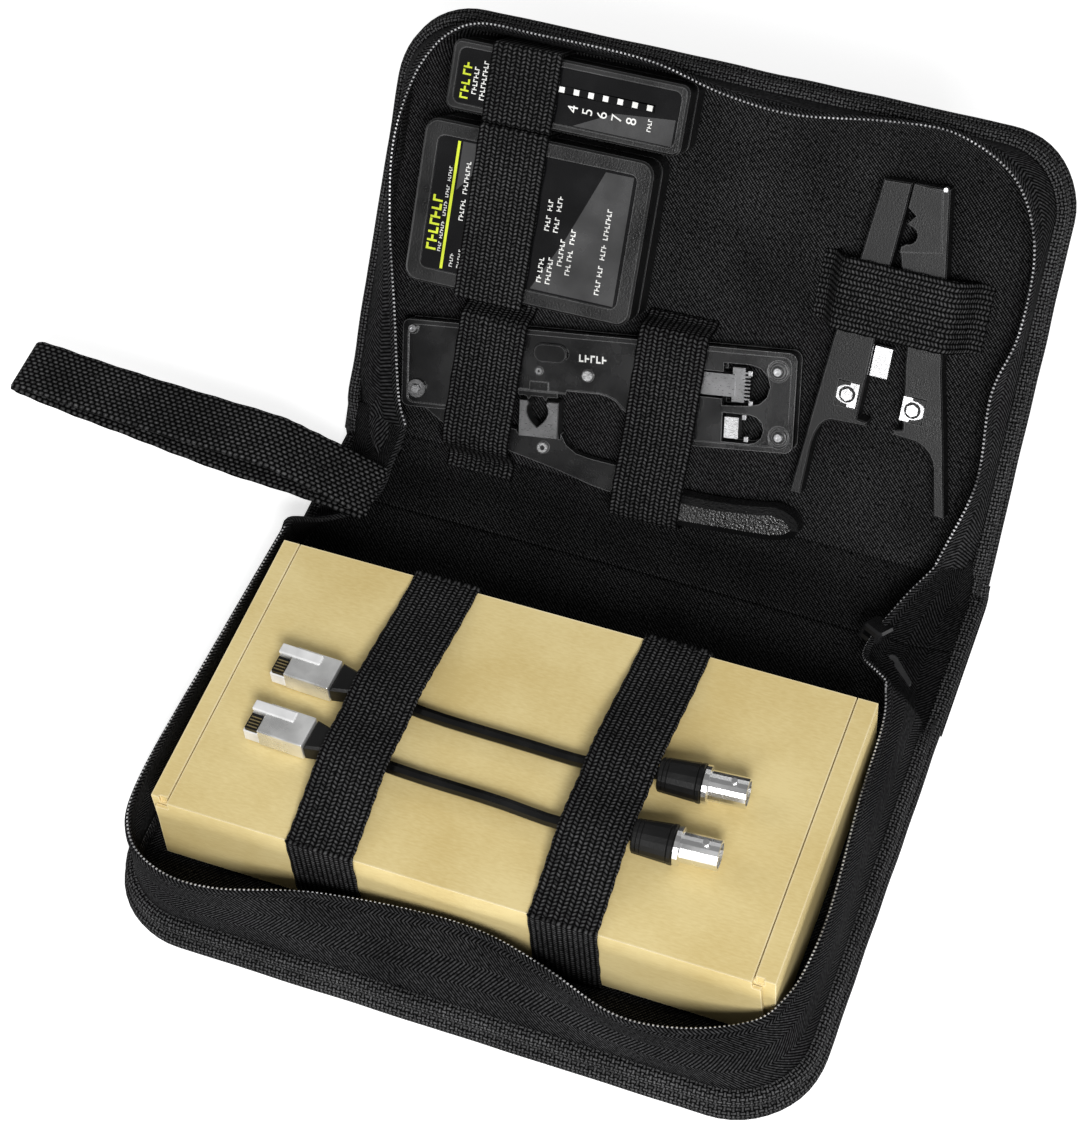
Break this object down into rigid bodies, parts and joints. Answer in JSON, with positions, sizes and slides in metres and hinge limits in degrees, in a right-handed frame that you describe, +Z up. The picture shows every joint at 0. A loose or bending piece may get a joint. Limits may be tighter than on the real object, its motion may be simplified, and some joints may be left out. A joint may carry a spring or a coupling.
{
  "type": "network tool case",
  "caption": "Soft zip case standing open, with a cable tester, remote unit, plug crimper, stripper, card box and adapter leads held by elastic straps.",
  "frame": {"origin": "centre of the base's underside, on the surface it stands on", "axes": "+X along the hinge to the right, +Y from the base towards the lid, +Z up"},
  "size_m": [0.3494, 0.3129, 0.143],
  "materials": {
    "nylon": "matte",
    "lining": "matte",
    "stiffener": "matte",
    "zip_tape": "matte",
    "webbing": "matte",
    "elastic": "satin",
    "zip_metal": "satin",
    "kraft_card": "matte",
    "plug_clear": "gloss",
    "black_rubber": "satin",
    "nickel": "polished",
    "casing": "matte",
    "label": "gloss",
    "circuit": "satin",
    "battery_can": "satin",
    "lights": "satin",
    "tool_paint": "satin",
    "grip": "satin",
    "tool_steel": "satin",
    "tool_plastic": "matte"
  },
  "bodies": {
    "case_base": {"base_shell": "nylon", "base_board": "stiffener", "base_lining": "lining", "base_zip_tape": "zip_tape", "box_tray": "kraft_card", "box_lid": "kraft_card", "box_elastic_left": "elastic", "box_elastic_right": "elastic", "plug_back": "plug_clear", "plug_boot_back": "black_rubber", "cable_back": "black_rubber", "bnc_boot_back": "black_rubber", "bnc_jack_back": "nickel", "plug_front": "plug_clear", "plug_boot_front": "black_rubber", "cable_front": "black_rubber", "bnc_boot_front": "black_rubber", "bnc_jack_front": "nickel"},
    "spine": {"spine_shell": "nylon", "spine_board": "stiffener", "spine_lining": "lining", "gusset_left": "nylon", "gusset_right": "nylon", "hand_strap_root": "webbing"},
    "lid": {"lid_shell": "nylon", "lid_board": "stiffener", "lid_lining": "lining", "lid_zip_tape": "zip_tape", "lid_elastic_left": "elastic", "lid_elastic_middle": "elastic", "lid_elastic_right": "elastic", "tester_back_shell": "casing", "tester_front_shell": "casing", "tester_label": "label", "tester_circuit_board": "circuit", "tester_battery": "battery_can", "tester_jack": "label", "remote_back_shell": "casing", "remote_front_shell": "casing", "remote_label": "label", "remote_lights": "lights", "crimper_back_plate": "tool_paint", "crimper_front_plate": "tool_paint", "crimper_pivot_screw": "tool_steel", "crimper_small_die": "tool_steel", "stripper_pin": "tool_steel"},
    "zip_slider": {"zip_slider": "zip_metal"},
    "zip_pull": {"zip_pull": "zip_metal"},
    "hand_strap": {"hand_strap": "webbing"},
    "crimper_lever": {"crimper_lever": "tool_paint", "crimper_grip": "grip", "crimper_jaw": "tool_steel"},
    "crimper_ram": {"crimper_ram": "tool_steel"},
    "crimper_lock": {"crimper_lock_button": "tool_paint"},
    "stripper_arm_left": {"stripper_arm_left": "tool_plastic", "stripper_cassette_left": "tool_steel", "stripper_stop": "tool_steel"},
    "stripper_arm_right": {"stripper_arm_right": "tool_plastic", "stripper_cassette_right": "tool_steel"},
    "tester_switch": {"tester_switch": "casing"}
  },
  "joints": [
    {"name": "spine_fold", "type": "hinge", "parent": "case_base", "child": "spine", "pos_m": [0, 0.08, 0.005], "axis": [1, 0, 0], "range_deg": [0, 90], "deforming": ["gusset_left", "gusset_right"]},
    {"name": "lid_fold", "type": "hinge", "parent": "spine", "child": "lid", "pos_m": [0, 0.1335, 0.005], "axis": [1, 0, 0], "range_deg": [0, 18]},
    {"name": "hand_strap_swing", "type": "hinge", "parent": "spine", "child": "hand_strap", "pos_m": [-0.0926, 0.101, 0.0164], "axis": [0, -1, 0], "range_deg": [-60, 0], "deforming": ["hand_strap_root"]},
    {"name": "zip_slider_slide", "type": "slide", "parent": "spine", "child": "zip_slider", "axis": [0, 1, 0], "range_m": [-0.004, 0]},
    {"name": "zip_pull_swing", "type": "hinge", "parent": "zip_slider", "child": "zip_pull", "pos_m": [0.0955, 0.0926, 0.0154], "axis": [0.6932, 0.6833, 0.229], "range_deg": [-100, 0]},
    {"name": "crimper_lever_swing", "type": "hinge", "parent": "lid", "child": "crimper_lever", "pos_m": [-0.09137, 0.14138, 0.03156], "axis": [0, -0.782, 0.6233], "range_deg": [-2.6, 0], "deforming": ["lid_elastic_middle"]},
    {"name": "crimper_ram_slide", "type": "slide", "parent": "lid", "child": "crimper_ram", "axis": [0.9893, 0.0911, 0.1142], "range_m": [-0.0016, 0]},
    {"name": "crimper_lock_slide", "type": "slide", "parent": "lid", "child": "crimper_lock", "axis": [0.9893, 0.0911, 0.1142], "range_m": [0, 0.0034]},
    {"name": "stripper_left_swing", "type": "hinge", "parent": "lid", "child": "stripper_arm_left", "pos_m": [0.0727, 0.20751, 0.11468], "axis": [0, -0.782, 0.6233], "range_deg": [0, 2.5]},
    {"name": "stripper_right_swing", "type": "hinge", "parent": "lid", "child": "stripper_arm_right", "pos_m": [0.0727, 0.20751, 0.11468], "axis": [0, -0.782, 0.6233], "range_deg": [-2.5, 0]},
    {"name": "tester_switch_slide", "type": "slide", "parent": "lid", "child": "tester_switch", "axis": [0.9998, 0.0109, 0.0137], "range_m": [0, 0.003]}
  ],
  "couplings": [
    {"joint": "lid_fold", "follows": "spine_fold", "ratio": 0.2},
    {"joint": "crimper_ram_slide", "follows": "crimper_lever_swing", "m_per_rad": 0.0246},
    {"joint": "stripper_right_swing", "follows": "stripper_left_swing", "ratio": -1}
  ]
}
